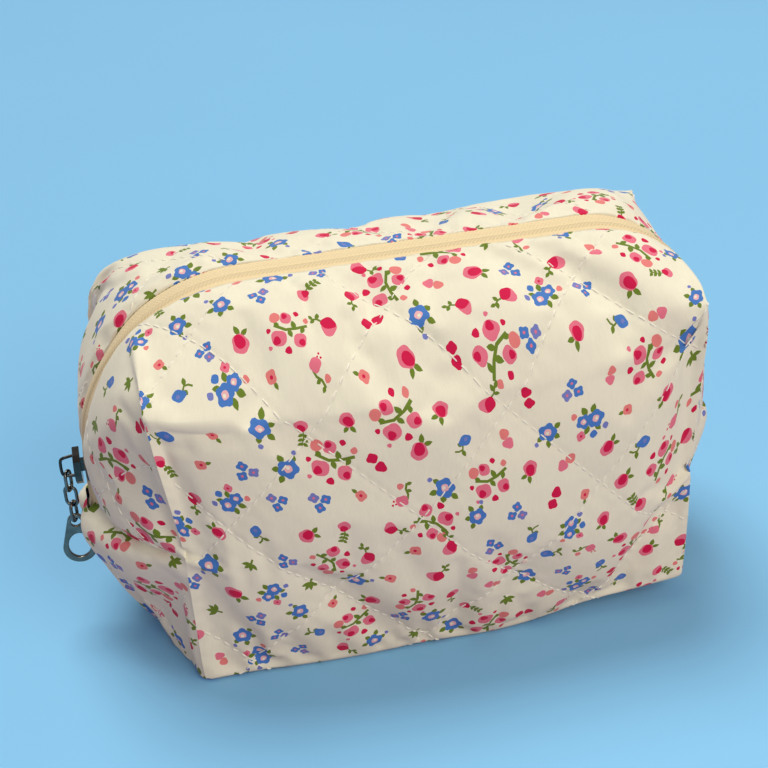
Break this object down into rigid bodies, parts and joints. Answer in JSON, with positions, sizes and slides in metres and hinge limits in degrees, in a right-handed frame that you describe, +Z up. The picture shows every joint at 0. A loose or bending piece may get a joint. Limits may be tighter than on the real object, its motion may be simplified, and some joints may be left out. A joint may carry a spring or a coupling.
{
  "type": "makeup bag",
  "caption": "Boxy quilted cotton makeup bag with a ditsy floral print, a zip from end to end over the top and a small chain-hung ring pull.",
  "frame": {"origin": "middle of the flat bottom the bag rests on", "axes": "+Z up, +X along the bag away from the end where the slider rests, -Y to the front"},
  "size_m": [0.2133, 0.104, 0.114],
  "materials": {
    "cover": "printed plain-weave cotton",
    "wadding": "soft polyester wadding",
    "lining": "plain cotton lining",
    "zip_tape": "knitted tape",
    "zip_coil": "nylon coil",
    "binding": "folded bias tape",
    "slider_metal": "polished black nickel",
    "chain_metal": "polished black nickel",
    "ring_metal": "satin black nickel"
  },
  "bodies": {
    "bag": {"cover_lower": "cover", "wadding_lower": "wadding", "lining_lower": "lining", "zip_left_end": "zip_tape", "zip_left_end_coil": "zip_coil", "zip_right_end": "zip_tape", "zip_right_end_coil": "zip_coil", "corner_binding_left_front": "binding", "corner_binding_left_back": "binding", "corner_binding_right_front": "binding", "corner_binding_right_back": "binding", "end_binding_left": "binding", "end_binding_right": "binding"},
    "mouth_front": {"cover_front_panel": "cover", "wadding_front_panel": "wadding", "lining_front_panel": "lining", "zip_tape_front": "zip_tape", "zip_coil_front": "zip_coil"},
    "mouth_back": {"cover_back_panel": "cover", "wadding_back_panel": "wadding", "lining_back_panel": "lining", "zip_tape_back": "zip_tape", "zip_coil_back": "zip_coil"},
    "slider": {"slider_body": "slider_metal", "slider_bridge": "slider_metal"},
    "link_1": {"chain_link_1": "chain_metal"},
    "link_2": {"chain_link_2": "chain_metal"},
    "link_3": {"chain_link_3": "chain_metal"},
    "ring": {"ring_pull": "ring_metal"}
  },
  "joints": [
    {"name": "slider_travel", "type": "hinge", "parent": "bag", "child": "slider", "pos_m": [-0.0488, 0, 0.057], "axis": [0, 1, 0], "range_deg": [0, 80]},
    {"name": "mouth_front_open", "type": "hinge", "parent": "bag", "child": "mouth_front", "pos_m": [0, -0.052, 0.045], "axis": [-1, 0, 0], "range_deg": [-20, 0]},
    {"name": "mouth_back_open", "type": "hinge", "parent": "bag", "child": "mouth_back", "pos_m": [0, 0.052, 0.045], "axis": [1, 0, 0], "range_deg": [-20, 0]},
    {"name": "link_1_swing", "type": "hinge", "parent": "slider", "child": "link_1", "pos_m": [-0.10995, 0, 0.0553], "axis": [0.4067, 0.9135, 0], "range_deg": [0, 90]},
    {"name": "link_2_swing", "type": "hinge", "parent": "link_1", "child": "link_2", "pos_m": [-0.10995, 0, 0.0486], "axis": [0.4067, 0.9135, 0], "range_deg": [-4, 35]},
    {"name": "link_3_swing", "type": "hinge", "parent": "link_2", "child": "link_3", "pos_m": [-0.10995, 0, 0.04305], "axis": [-0.9135, 0.4067, 0], "range_deg": [-10, 25]},
    {"name": "ring_swing", "type": "hinge", "parent": "link_3", "child": "ring", "pos_m": [-0.10995, 0, 0.0375], "axis": [0.4067, 0.9135, 0], "range_deg": [-6, 22]}
  ]
}
